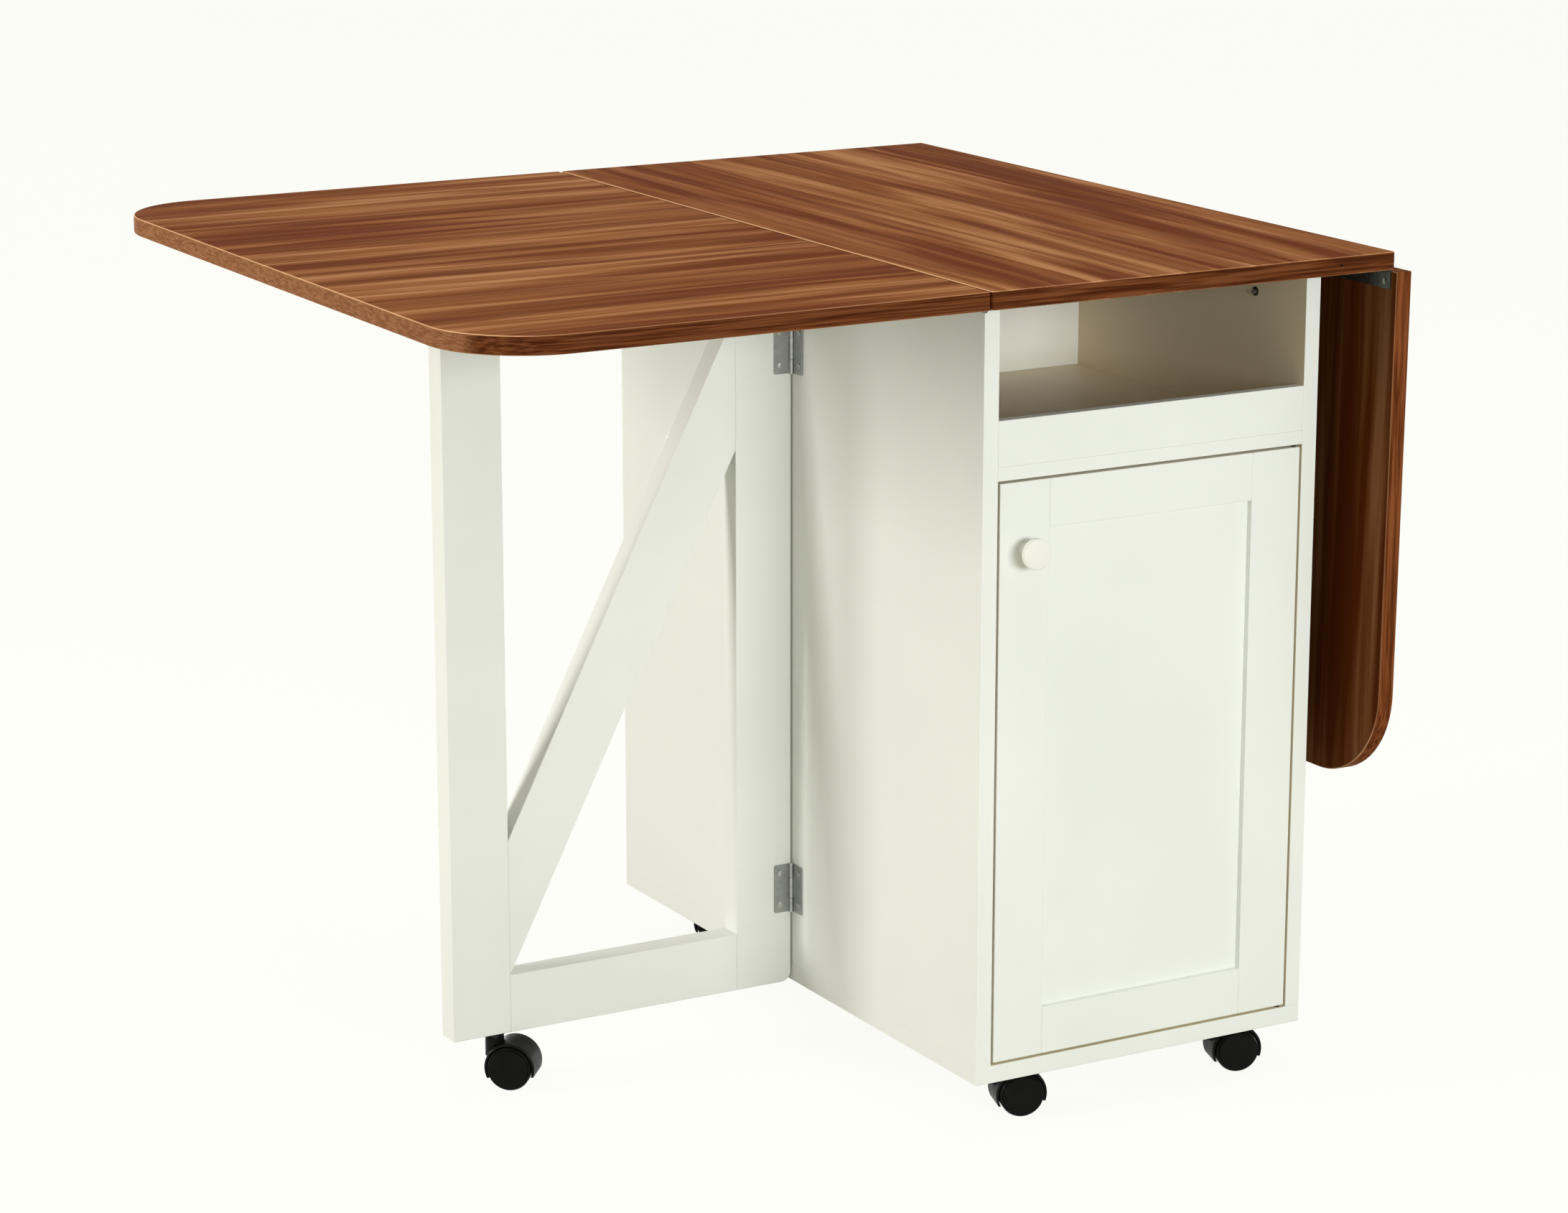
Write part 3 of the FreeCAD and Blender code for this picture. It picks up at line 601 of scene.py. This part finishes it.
class Piece:
    """One new mesh, drawn in place with bmesh operators."""

    def __init__(self, name: str) -> None:
        """Start an empty mesh.

        Args:
            name: The piece's name.
        """
        self.name = name
        self.mesh = bmesh.new()

    def turned(self, profile: Iterable[tuple[float, float]], place: Matrix, steps: int = 24) -> None:
        """Add a turned shape.

        Args:
            profile: Radius and height of each point, from one end of the axis to the other.
            place: Where the shape's axis and zero height go.
            steps: Number of sides.
        """
        points = [self.mesh.verts.new((radius, 0.0, height)) for radius, height in profile]
        edges = [self.mesh.edges.new(pair) for pair in zip(points, points[1:])]
        bmesh.ops.spin(self.mesh, geom=points + edges, cent=(0, 0, 0), axis=Z_AXIS, angle=2 * math.pi,
                       steps=steps, use_merge=True, use_duplicate=False)
        bmesh.ops.remove_doubles(self.mesh, verts=self.fresh_points(), dist=MERGE_DISTANCE)
        self.settle(place)

    def cross_head(self, radius: float, rise: float, depth: float, place: Matrix) -> None:
        """Add a domed screw head with a cross recess.

        Args:
            radius: Radius of the head.
            rise: Height of its crown.
            depth: Depth of the recess below the crown.
            place: Where the head's seat and axis go.
        """
        cells = len(CROSS_LINES) - 1
        grid = bmesh.ops.create_grid(self.mesh, x_segments=cells, y_segments=cells, size=radius)
        step = 2 * radius / cells
        for point in grid["verts"]:
            column, row = (CROSS_LINES[round((level + radius) / step)] for level in point.co.xy)
            length = math.hypot(column, row)
            on_rim = max(abs(column), abs(row)) == 1.0
            scale = radius / length if on_rim else radius
            height = rise * (1 - min(1.0, length) ** 2 * CROWN_FALL)
            point.co = Vector((column * scale, row * scale, height))
        recess = [f for f in self.fresh_faces() if self.in_cross(f.calc_center_median(), radius)]
        sunk = bmesh.ops.extrude_face_region(self.mesh, geom=recess)
        bmesh.ops.delete(self.mesh, geom=recess, context="FACES_ONLY")
        bmesh.ops.translate(self.mesh, vec=-depth * Z_AXIS, verts=self.points_of(sunk))
        skirt = bmesh.ops.extrude_edge_only(self.mesh, edges=self.open_edges())
        for point in self.points_of(skirt):
            point.co.z = 0.0
        bmesh.ops.contextual_create(self.mesh, geom=self.open_edges())
        self.settle(place)

    @staticmethod
    def in_cross(point: Vector, radius: float) -> bool:
        """True where a point of a screw head lies in its cross recess."""
        near, far = sorted((abs(point.x), abs(point.y)))
        return near < CROSS_ARM * radius and far < CROSS_REACH * radius

    @staticmethod
    def points_of(result: dict[str, list]) -> list[bmesh.types.BMVert]:
        """The points among what an operator made."""
        return [item for item in result["geom"] if isinstance(item, bmesh.types.BMVert)]

    def fresh_points(self) -> list[bmesh.types.BMVert]:
        """Points that haven't been put in place yet."""
        return [point for point in self.mesh.verts if not point.tag]

    def fresh_faces(self) -> list[bmesh.types.BMFace]:
        """Faces that haven't been put in place yet."""
        return [face for face in self.mesh.faces if not face.verts[0].tag]

    def open_edges(self) -> list[bmesh.types.BMEdge]:
        """Open edges of what hasn't been put in place yet."""
        return [edge for edge in self.mesh.edges if edge.is_boundary and not edge.verts[0].tag]

    def settle(self, place: Matrix) -> None:
        """Move what was drawn last to its place.

        Args:
            place: The transform from the drawing to the row frame.
        """
        fresh = self.fresh_points()
        bmesh.ops.recalc_face_normals(self.mesh, faces=self.fresh_faces())
        bmesh.ops.transform(self.mesh, matrix=place, verts=fresh)
        for point in fresh:
            point.tag = True

    def finish(self, body: str, slot: str, material: bpy.types.Material) -> None:
        """Turn the drawing into an object that rides on a body.

        Args:
            body: The CAD body that it rides on.
            slot: The record's material slot; not used.
            material: Its finish.
        """
        data = bpy.data.meshes.new(self.name)
        self.mesh.to_mesh(data)
        self.mesh.free()
        data.materials.append(material)
        data.shade_smooth()
        data.set_sharp_from_angle(angle=SHARP_EDGE)
        piece = bpy.data.objects.new(self.name, data)
        bpy.context.scene.collection.objects.link(piece)
        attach(piece, body)
        LOG.info("%s: %d faces on %s", self.name, len(data.polygons), body)


def axis_place(at: Vector, up: Vector) -> Matrix:
    """A transform that carries the origin and +Z to a point and a direction.

    Args:
        at: The point.
        up: The direction.

    Returns:
        The transform.
    """
    return Matrix.Translation(at) @ up.to_track_quat("Z", "Y").to_matrix().to_4x4()


class Dresser:
    """Gives carried-over CAD nodes their finishes."""

    def __init__(self, nodes: dict[str, bpy.types.Object]) -> None:
        """Take the frame's nodes.

        Args:
            nodes: CAD objects by name.
        """
        self.nodes = nodes
        self.left = set(nodes)

    def dress(self, names: Iterable[str], material: bpy.types.Material) -> None:
        """Put a finish on some nodes.

        Args:
            names: The nodes' names.
            material: Their finish.
        """
        for name in names:
            slots = self.nodes[name].data.materials
            slots.clear()
            slots.append(material)
            self.left.discard(name)
            LOG.info("%s: %s", name, material.name)

    def matching(self, *endings: str) -> list[str]:
        """Names of the undressed nodes that end in one of some words."""
        return sorted(n for n in self.left if n.endswith(endings))


@dataclass
class WalnutTop:
    """Centre panel and two leaves, each with its own grain."""

    centre: WalnutLaminate = WalnutLaminate(
        "walnut_centre", Grain.Y, (3.1, 0.7, 0.2), (9.0, 9.0, 300.0), Side.TOP_AND_BOTTOM)
    raised: WalnutLaminate = WalnutLaminate(
        "walnut_left_leaf", Grain.X, (0.4, 5.2, 1.3), (9.0, 120.0, 600.0), Side.LEFT)
    hanging: WalnutLaminate = WalnutLaminate(
        "walnut_right_leaf", Grain.Z, (2.2, 1.9, 7.7), (300.0, 260.0, 9.0), Side.BOTTOM,
        edge_tones=(srgb(84, 42, 18), srgb(110, 58, 28), srgb(132, 75, 42)),
        rim_ends=Side.TOP_AND_BOTTOM)

    def dress(self, dresser: Dresser) -> None:
        """Put each panel's own grain on it."""
        dresser.dress(["centre_top"], self.centre.material())
        dresser.dress(["left_leaf"], self.raised.material())
        dresser.dress(["right_leaf"], self.hanging.material())


@dataclass
class ButtHinges:
    """Finish of every hinge, and the screw heads and pin ends of those that show."""

    length: float = 46 * MM
    leaf_length: float = 80 * MM
    leaf_count: int = 4
    leaf_reach: float = 11.1 * MM
    leaf_stack: float = 0.8 * MM
    knuckle: float = 2.1 * MM
    screw_end: float = 8 * MM
    screw_side: float = 6 * MM
    head_radius: float = 2.6 * MM
    head_rise: float = 0.35 * MM
    recess: float = 0.3 * MM
    stack: float = 1.8 * MM
    tip_radius: float = 2.0 * MM
    tip_rise: float = 1.1 * MM
    tip_angles: tuple[float, ...] = (0.0, 0.35, 0.75, 1.15)
    steel: SatinSteel = SatinSteel("hinge_steel", (0.4, 0.41, 0.39))
    # Darker copy of the plated steel: painted shade and reflection on the leaves' hinges
    shaded: SatinSteel = SatinSteel("leaf_hinge_shaded_steel", (0.16, 0.165, 0.155), 0.3)
    bright: SatinSteel = SatinSteel("screw_steel", (0.62, 0.62, 0.59), 0.24)

    def screw_heights(self, low: float, high: float) -> Iterator[float]:
        """Heights of a gate's screws between its hinges' lowest and highest points."""
        for start in (low, high - self.length):
            yield start + self.screw_end
            yield start + self.length - self.screw_end

    def heads(self, piece: Piece, places: Iterable[Matrix]) -> None:
        """Draw a screw head at each place."""
        for place in places:
            piece.cross_head(self.head_radius, self.head_rise, self.recess, place)

    def build(self, metal: bpy.types.Material) -> None:
        """Make the screw heads on both halves of the open gate's hinges, and the pins' ends.

        Args:
            metal: Finish of the screws.
        """
        low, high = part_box("left_gate_hinge_flaps")
        heights = list(self.screw_heights(low.z, high.z))
        axis_x, axis_y = high.x - self.knuckle, low.y + self.knuckle
        gate = Piece("left_gate_hinge_screws")
        x, y = low.x + self.screw_side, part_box("left_gate_hinge_post")[0].y - self.stack
        self.heads(gate, [axis_place(Vector((x, y, z)), -Y_AXIS) for z in heights])
        gate.finish("left_gate", "steel", metal)
        fixed = Piece("left_side_hinge_screws")
        x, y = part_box("left_side_panel")[0].x - self.stack, axis_y - (axis_x - low.x) + self.screw_side
        self.heads(fixed, [axis_place(Vector((x, y, z)), -X_AXIS) for z in heights])
        fixed.finish("cabinet", "steel", metal)
        tips = Piece("left_gate_hinge_tips")
        arc = [(self.tip_radius * math.cos(a), self.tip_rise * math.sin(a)) for a in self.tip_angles]
        profile = [(0.0, 0.0), *arc, (0.0, self.tip_rise)]
        for start in (low.z, high.z - self.length):
            tips.turned(profile, axis_place(Vector((axis_x, axis_y, start)), -Z_AXIS))
            tips.turned(profile, axis_place(Vector((axis_x, axis_y, start + self.length)), Z_AXIS))
        tips.finish("left_gate", "steel", metal)

    def leaf_row(self, axis: Vector, away: Vector, out: Vector) -> list[Matrix]:
        """Places of the screws on one row of leaf hinges.

        Args:
            axis: A point on the hinge axis.
            away: Direction from the axis across the flaps.
            out: Direction that the screws' heads face.

        Returns:
            One place for each screw.
        """
        low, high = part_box("leaf_hinge_fixed_flaps")
        half = self.leaf_length / 2
        step = (high.y - low.y - self.leaf_length) / (self.leaf_count - 1)
        middles = [low.y + half + step * i for i in range(self.leaf_count)]
        seat = axis + away * self.leaf_reach + out * self.leaf_stack
        rows = [middle + way * (half - self.screw_end) for middle in middles for way in (-1, 1)]
        return [axis_place(Vector((seat.x, y, seat.z)), out) for y in rows]

    def build_leaf_screws(self, metal: bpy.types.Material, joints: list[dict]) -> None:
        """Make the screw heads on both halves of the leaf hinges.

        Args:
            metal: Finish of the screws.
            joints: The frame's joints, for the leaves' axes and the hanging leaf's angle.
        """
        by_leaf = {joint["child"]: joint for joint in joints}
        hanging = math.radians(by_leaf["right_leaf"]["range_deg"][1])
        fixed = Piece("leaf_hinge_fixed_screws")
        for leaf, way, drop in (("left_leaf", -1.0, 0.0), ("right_leaf", 1.0, hanging)):
            axis = Vector(by_leaf[leaf]["pos_m"])
            self.heads(fixed, self.leaf_row(axis, -way * X_AXIS, -Z_AXIS))
            turn = Matrix.Rotation(drop, 3, "Y")
            moving = Piece(leaf + "_screws")
            self.heads(moving, self.leaf_row(axis, turn @ (way * X_AXIS), turn @ -Z_AXIS))
            moving.finish(leaf, "steel", metal)
        fixed.finish("cabinet", "steel", metal)

    def dress(self, dresser: Dresser) -> None:
        """Put the plated finish on every flap, with a darker copy on the leaves' hinges as painted shade and
        reflection.
        """
        leaf_flaps = ["left_leaf_flaps", "right_leaf_flaps", "leaf_hinge_fixed_flaps"]
        dresser.dress(leaf_flaps, self.shaded.material())
        dresser.dress(dresser.matching("_flaps"), self.steel.material())


@dataclass
class PaintedCabinet:
    """Carcass, door and gates in one satin white, with a warmer inner coat that also carries painted shade,
    a paler white that is painted light on the niche's back wall, and the small fittings.
    """

    paint: SatinPaint = SatinPaint("white_satin_paint", srgb(238, 240, 235))
    # Warmer, darker inner coat: partly the cabinet's inner colour, partly painted shade in the niche
    lining_and_painted_light: Colour = srgb(240, 225, 194)
    # Paler than the carcass white: painted light on the niche's back wall
    niche_back_light: Colour = srgb(252, 250, 240)
    knob_paint: SatinPaint = SatinPaint("white_knob_lacquer", srgb(240, 240, 233), 400.0)
    pale: MouldedPlastic = MouldedPlastic("pale_plastic", (0.72, 0.72, 0.68), 0.45, 0.4)
    plated: SatinSteel = SatinSteel("fitting_steel", (0.5, 0.5, 0.48), 0.3)
    pivot: SatinSteel = SatinSteel("pivot_steel", (0.05, 0.05, 0.046), 0.5)
    stud: SatinSteel = SatinSteel("stud_steel", (0.14, 0.14, 0.13), 0.34)
    stud_radius: float = 4.2 * MM
    stud_rise: float = 3.0 * MM
    stud_from_front: float = 75 * MM
    stud_drop: float = 35 * MM
    stud_profile: tuple[tuple[float, float], ...] = (
        (0, 0), (1, 0), (1, 0.3), (0.72, 0.42), (0.72, 0.8), (0.55, 1), (0.2, 1), (0.16, 0.7), (0, 0.7))

    def dress(self, dresser: Dresser) -> None:
        """Paint every wooden piece that is left, and the small fittings."""
        dresser.dress(["door_knob"], self.knob_paint.material())
        dresser.dress(["door_pivot_pins"], self.pivot.material())
        dresser.dress(["shelf_pins", "door_strike_plate"], self.plated.material())
        dresser.dress(["magnet_catch", "left_gate_rest_pad", "right_gate_rest_pad"], self.pale.material())
        # Inner tones by panel: painted shade in the warmer coat, painted light on the niche's back wall
        inner_coats_and_light = {
            "left_side_panel": (Side.RIGHT, self.lining_and_painted_light),
            "right_side_panel": (Side.LEFT, self.lining_and_painted_light),
            "niche_shelf": (Side.TOP_AND_BOTTOM, self.lining_and_painted_light),
            "niche_back_panel": (Side.FRONT_AND_BACK, self.niche_back_light),
            "back_panel": (Side.FRONT, self.lining_and_painted_light),
            "bottom_panel": (Side.TOP, self.lining_and_painted_light),
        }
        for name, (side, lining_and_painted_light) in inner_coats_and_light.items():
            finish = replace(self.paint, name=name + "_paint", lining_and_painted_light=lining_and_painted_light, tinted_side=side)
            dresser.dress([name], finish.material())
        dresser.dress(sorted(dresser.left), self.paint.material())

    def build(self) -> None:
        """Make the fixing stud high on the niche's right wall."""
        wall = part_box("right_side_panel")[0]
        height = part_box("centre_top")[0].z - self.stud_drop
        profile = [(self.stud_radius * out, self.stud_rise * up) for out, up in self.stud_profile]
        piece = Piece("niche_fixing_stud")
        piece.turned(profile, axis_place(Vector((wall.x, wall.y + self.stud_from_front, height)), -X_AXIS))
        piece.finish("cabinet", "steel", self.stud.material())


@dataclass
class Casters:
    """Six twin-wheel casters: moulded hoods and wheels, steel stems, a race ring under each socket."""

    names: tuple[str, ...] = (
        "front_left", "front_right", "rear_left", "rear_right", "left_gate", "right_gate")
    hood: MouldedPlastic = MouldedPlastic("black_hood", (0.004, 0.004, 0.0036), 0.4, 0.1)
    wheel: MouldedPlastic = MouldedPlastic("black_wheel", (0.0035, 0.0036, 0.0033), 0.45, 0.07)
    pin: SatinSteel = SatinSteel("stem_steel", (0.5, 0.5, 0.48), 0.3)
    ring_radius: float = 6.6 * MM
    ring_bore: float = 4.3 * MM
    ring_low: float = 45.7 * MM
    ring_high: float = 46.7 * MM
    ring_edge: float = 0.25 * MM
    ring_steps: int = 32

    def dress(self, dresser: Dresser) -> None:
        """Put the plastics and the steel on every caster and its socket."""
        dresser.dress(dresser.matching("_hood", "_socket", "_sockets"), self.hood.material())
        dresser.dress(dresser.matching("_wheels"), self.wheel.material())
        dresser.dress(dresser.matching("_caster_pins"), self.pin.material())

    def build(self, metal: bpy.types.Material, joints: list[dict]) -> None:
        """Make the race ring between each hood and its socket.

        Args:
            metal: Finish of the rings.
            joints: The frame's joints, for the stems' places.
        """
        places = {joint["child"]: joint["pos_m"] for joint in joints}
        low, high, out, bore = self.ring_low, self.ring_high, self.ring_radius, self.ring_bore
        edge = self.ring_edge
        profile = [(bore, low), (out - edge, low), (out, low + edge), (out, high - edge),
                   (out - edge, high), (bore, high), (bore, low)]
        for name in self.names:
            x, y, _ = places[name + "_caster"]
            piece = Piece(name + "_caster_race")
            piece.turned(profile, Matrix.Translation((x, y, 0)), self.ring_steps)
            piece.finish(name + "_caster", "steel", metal)


@dataclass(frozen=True)
class SoftBox:
    """One soft rectangular lamp, which a grid may narrow."""

    name: str
    place: tuple[float, float, float]
    aim: tuple[float, float, float]
    size: tuple[float, float]
    energy: float
    colour: Colour = (0.97, 1.0, 1.0)
    spread: float = math.pi

    def hang(self) -> None:
        """Make the lamp, turned towards its aim."""
        data = bpy.data.lights.new(self.name, "AREA")
        data.shape = "RECTANGLE"
        data.size, data.size_y = self.size
        data.energy = self.energy
        data.color = self.colour
        data.spread = self.spread
        lamp = bpy.data.objects.new(self.name, data)
        lamp.location = self.place
        lamp.visible_camera = False
        back = Vector(self.place) - Vector(self.aim)
        lamp.rotation_euler = back.to_track_quat("Z", "Y").to_euler()
        bpy.context.scene.collection.objects.link(lamp)


@dataclass
class Studio:
    """Plain pale floor, soft light and the camera at the photograph's angle."""

    floor_size: float = 60.0
    floor_rough: float = 0.9
    sky: Colour = (0.41, 0.405, 0.35)
    backdrop: Colour = (0.995, 1.0, 0.955)
    bounce: Colour = (0.49, 0.475, 0.4)
    shadow: float = 0.16
    glow: float = 1.115
    lamps: tuple[SoftBox, ...] = (
        SoftBox("front_box", (0.02, -4.4, 1.3), (0.1, 0.0, 0.6), (1.9, 0.9), 103.0),
        SoftBox("left_box", (-4.2, 1.05, 1.55), (0.0, 0.0, 0.5), (1.3, 1.9), 118.0, (1.0, 0.99, 0.95)),
        SoftBox("top_box", (-0.3, -0.4, 3.0), (0.0, 0.0, 0.7), (2.0, 2.0), 22.0),
        SoftBox("back_box", (0.6, 10.0, 0.75), (0.0, 0.0, 0.4), (4.0, 1.2), 18.0, spread=GRID_SPREAD),
        SoftBox("right_box", (10.0, 2.0, 0.75), (0.0, 0.0, 0.4), (4.0, 1.2), 17.0, spread=GRID_SPREAD),
    )
    camera_at: tuple[float, float, float] = (-1.7989, -3.2621, 1.3481)
    azimuth: float = -29.4877
    pitch: float = 14.0805
    focal_pixels: float = 5900.0
    clip: Range = (0.05, 200.0)

    def seen(self, tree: bpy.types.NodeTree) -> bpy.types.NodeSocket:
        """A level of 1 for what the camera, gloss or glass sees, and 0 for light on the object.

        Args:
            tree: The node tree that the level is made in.

        Returns:
            The level's socket.
        """
        path = tree.nodes.new("ShaderNodeLightPath")
        level = path.outputs["Is Camera Ray"]
        for name in ("Is Glossy Ray", "Is Transmission Ray"):
            node = tree.nodes.new("ShaderNodeMath")
            node.operation = "MAXIMUM"
            tree.links.new(level, node.inputs[0])
            tree.links.new(path.outputs[name], node.inputs[1])
            level = node.outputs[0]
        return level

    def light(self) -> None:
        """Make the world and hang the lamps."""
        world = bpy.data.worlds.new("soft_white")
        world.use_nodes = True
        bpy.context.scene.world = world
        tree = world.node_tree
        colour = tree.nodes.new("ShaderNodeMix")
        colour.data_type = "RGBA"
        tree.links.new(self.seen(tree), colour.inputs["Factor"])
        colour.inputs[MIX_FIRST].default_value = (*self.sky, 1.0)
        colour.inputs[MIX_SECOND].default_value = (*self.backdrop, 1.0)
        tree.links.new(colour.outputs[MIX_RESULT], tree.nodes["Background"].inputs["Color"])
        for lamp in self.lamps:
            lamp.hang()

    def floor_material(self) -> bpy.types.Material:
        """A matt finish that the camera sees as white, with a share of the shadow kept."""
        material = bpy.data.materials.new("studio_floor")
        material.use_nodes = True
        tree = material.node_tree
        surface = tree.nodes["Principled BSDF"]
        surface.inputs["Base Color"].default_value = (*self.bounce, 1.0)
        surface.inputs["Roughness"].default_value = self.floor_rough
        surface.inputs["Specular IOR Level"].default_value = 0.0
        glow = tree.nodes.new("ShaderNodeEmission")
        glow.inputs["Color"].default_value = (*self.backdrop, 1.0)
        glow.inputs["Strength"].default_value = self.glow
        share = tree.nodes.new("ShaderNodeMath")
        share.operation = "MULTIPLY"
        tree.links.new(self.seen(tree), share.inputs[0])
        share.inputs[1].default_value = 1.0 - self.shadow
        mixed = tree.nodes.new("ShaderNodeMixShader")
        tree.links.new(share.outputs[0], mixed.inputs[0])
        tree.links.new(surface.outputs[0], mixed.inputs[1])
        tree.links.new(glow.outputs[0], mixed.inputs[2])
        tree.links.new(mixed.outputs[0], tree.nodes["Material Output"].inputs["Surface"])
        return material

    def floor(self) -> None:
        """Make the pale floor, which shows white and keeps a faint shadow."""
        mesh = bmesh.new()
        bmesh.ops.create_grid(mesh, x_segments=1, y_segments=1, size=self.floor_size / 2)
        data = bpy.data.meshes.new("studio_floor")
        mesh.to_mesh(data)
        mesh.free()
        data.materials.append(self.floor_material())
        plane = bpy.data.objects.new("studio_floor", data)
        bpy.context.scene.collection.objects.link(plane)

    def camera(self) -> None:
        """Make the camera and set it as the scene's own."""
        data = bpy.data.cameras.new("camera")
        data.sensor_width = SENSOR_WIDTH
        data.lens = self.focal_pixels / PHOTO_WIDTH * SENSOR_WIDTH
        data.clip_start, data.clip_end = self.clip
        camera = bpy.data.objects.new("camera", data)
        turn, tilt = math.radians(self.azimuth), math.radians(self.pitch)
        back = Vector((math.sin(turn) * math.cos(tilt), -math.cos(turn) * math.cos(tilt), math.sin(tilt)))
        camera.location = self.camera_at
        camera.rotation_euler = back.to_track_quat("Z", "Y").to_euler()
        bpy.context.scene.collection.objects.link(camera)
        bpy.context.scene.camera = camera

    def build(self) -> None:
        """Set the view and make everything round the object."""
        bpy.context.scene.view_settings.view_transform = "Standard"
        self.light()
        self.floor()
        self.camera()


def main() -> None:
    """Load the frame, dress it, add the new pieces and set the studio."""
    logging.basicConfig(level=logging.INFO, format="%(name)s: %(message)s")
    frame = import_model()
    dresser = Dresser(frame["nodes"])
    top, hinges, casters, cabinet = WalnutTop(), ButtHinges(), Casters(), PaintedCabinet()
    for assembly in (top, hinges, casters, cabinet):
        assembly.dress(dresser)
    bright = hinges.bright.material()
    hinges.build(bright)
    hinges.build_leaf_screws(bright, frame["joints"])
    casters.build(bright, frame["joints"])
    cabinet.build()
    Studio().build()


if __name__ == "__main__":
    main()
